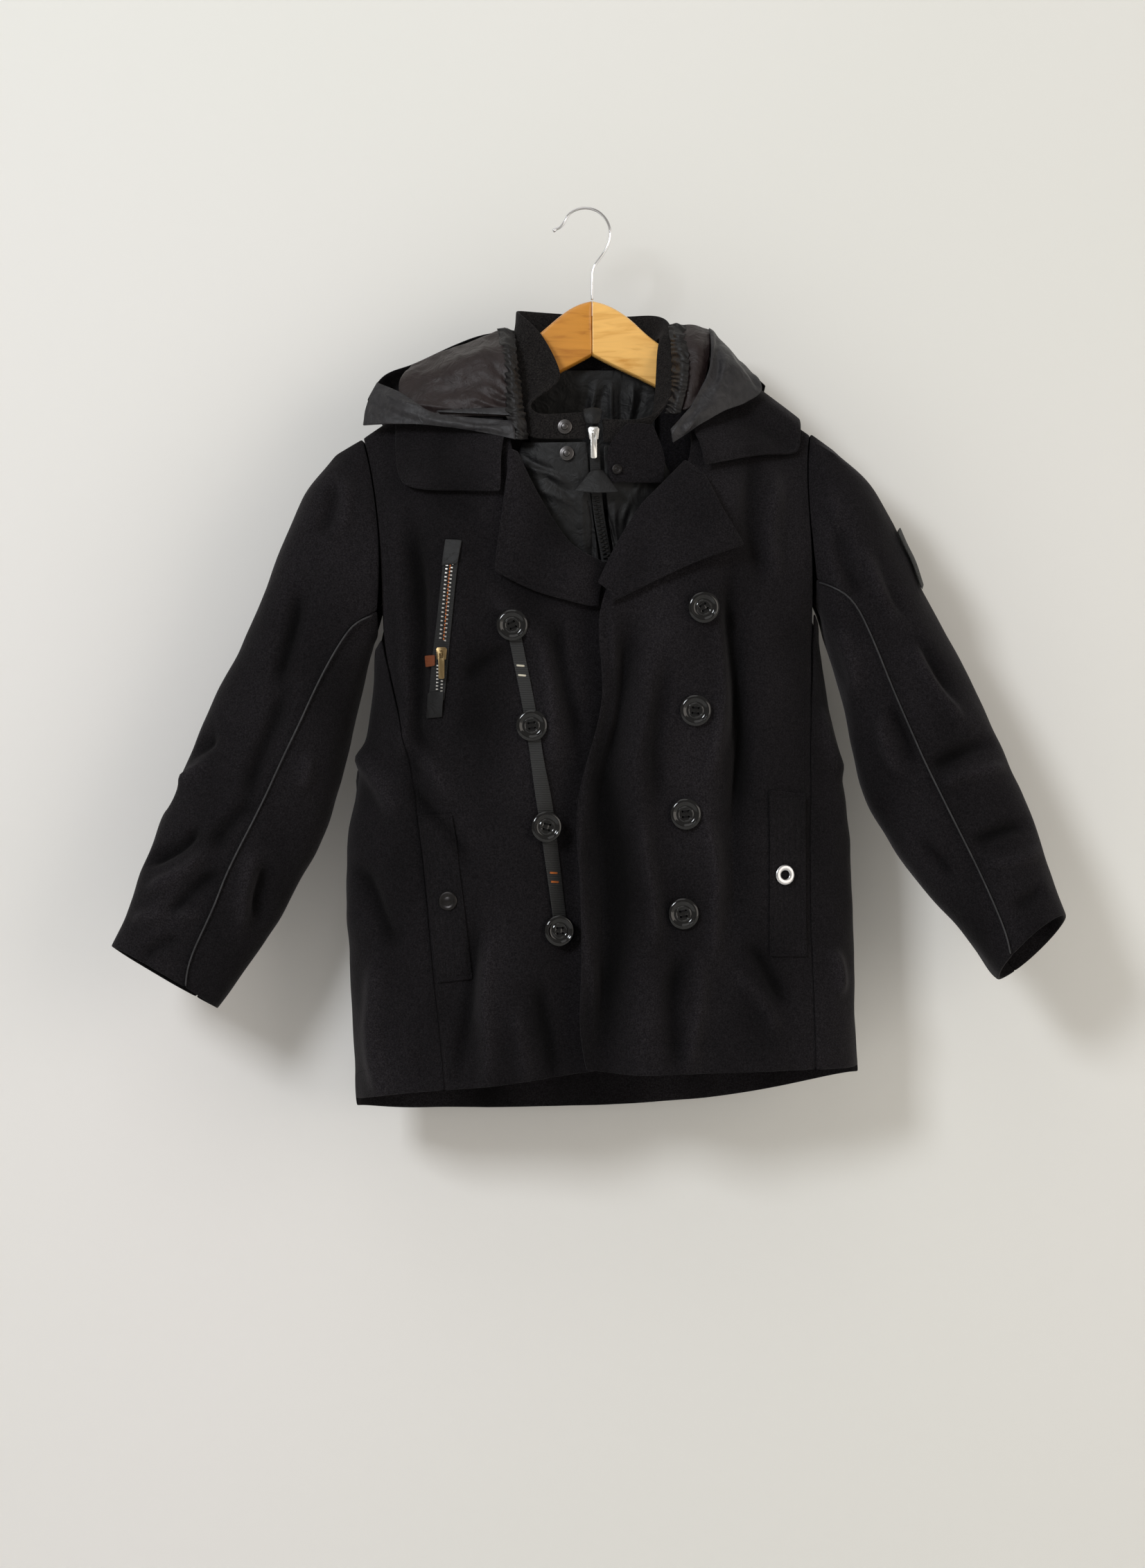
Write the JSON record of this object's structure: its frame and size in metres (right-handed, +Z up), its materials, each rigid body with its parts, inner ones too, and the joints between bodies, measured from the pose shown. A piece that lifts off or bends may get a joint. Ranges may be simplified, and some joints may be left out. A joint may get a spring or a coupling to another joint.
{
  "type": "child's short double-breasted pea coat with hood and bib, on a wooden hanger",
  "caption": "Child's short double-breasted black wool pea coat with a nylon hood and zipped bib, hanging open at the hem on a wooden hanger with a wire hook.",
  "frame": {"origin": "inside top of the hanger's hook, where a rail carries it, in the middle of the wire's thickness", "axes": "+X to the wearer's left (the right of a front view), +Y to the coat's back, +Z up"},
  "size_m": [0.7515, 0.1478, 0.7201],
  "materials": {
    "black_wool": "matt brushed melton wool",
    "stand_wool": "matt wool, brownish grey inside",
    "hood_shell": "satin nylon",
    "hood_lining": "satin nylon, aubergine brown",
    "bib_nylon": "satin nylon",
    "piping": "satin nylon piping",
    "button_plastic": "glossy black",
    "black_tape": "ribbed woven tape",
    "orange_tape": "matt orange tape",
    "hanger_wood": "clear varnished beech",
    "hook_chrome": "bright chrome wire",
    "eyelet_chrome": "bright ring",
    "zip_metal": "antique brass and silver",
    "dark_metal": "gunmetal"
  },
  "bodies": {
    "coat": {"back": "black_wool", "front_left": "black_wool", "front_right": "black_wool", "side_left": "black_wool", "side_right": "black_wool", "sleeve_top_left": "black_wool", "sleeve_under_left": "black_wool", "sleeve_top_right": "black_wool", "sleeve_under_right": "black_wool", "lapel_left": "black_wool", "lapel_right": "black_wool", "fall_collar": "black_wool", "chin_tab": "black_wool", "pocket_welt_left": "black_wool", "pocket_welt_right": "black_wool", "stand_collar": "stand_wool", "hood_back": "hood_shell", "hood_wing_right": "hood_shell", "hood_brim_right": "hood_shell", "hood_wing_left": "hood_shell", "hood_lining_right": "hood_lining", "hood_lining_left": "hood_lining", "bib_right": "bib_nylon", "bib_left": "bib_nylon", "neck_lining": "bib_nylon", "zip_loop": "bib_nylon", "zip_flap": "bib_nylon", "zip_tab_top": "bib_nylon", "zip_tab_low": "bib_nylon", "sleeve_piping_left": "piping", "sleeve_piping_right": "piping", "button_left_1": "button_plastic", "button_left_2": "button_plastic", "button_left_3": "button_plastic", "button_left_4": "button_plastic", "button_right_1": "button_plastic", "button_right_2": "button_plastic", "button_right_3": "button_plastic", "button_right_4": "button_plastic", "button_tape": "black_tape", "sleeve_patch": "black_tape", "bib_zip": "black_tape", "chest_zip": "black_tape", "zip_tag": "orange_tape", "hanger_wood_left": "hanger_wood", "hanger_wood_right": "hanger_wood", "hanger_hook": "hook_chrome", "welt_eyelet": "eyelet_chrome", "bib_slider": "zip_metal", "chest_slider": "zip_metal", "snap_stud_top": "dark_metal", "snap_stud_low": "dark_metal", "chin_snap": "dark_metal", "welt_snap": "dark_metal"},
    "bib_pull": {"bib_zip_pull": "zip_metal"},
    "chest_pull": {"chest_zip_pull": "zip_metal"}
  },
  "joints": [
    {"name": "bib_pull_hinge", "type": "hinge", "parent": "coat", "child": "bib_pull", "pos_m": [0.0065, -0.05745, -0.1836], "axis": [-1, 0, 0], "range_deg": [0, 150]},
    {"name": "chest_pull_hinge", "type": "hinge", "parent": "coat", "child": "chest_pull", "pos_m": [-0.1115, -0.05965, -0.3546], "axis": [-1, 0, 0], "range_deg": [0, 150]}
  ]
}
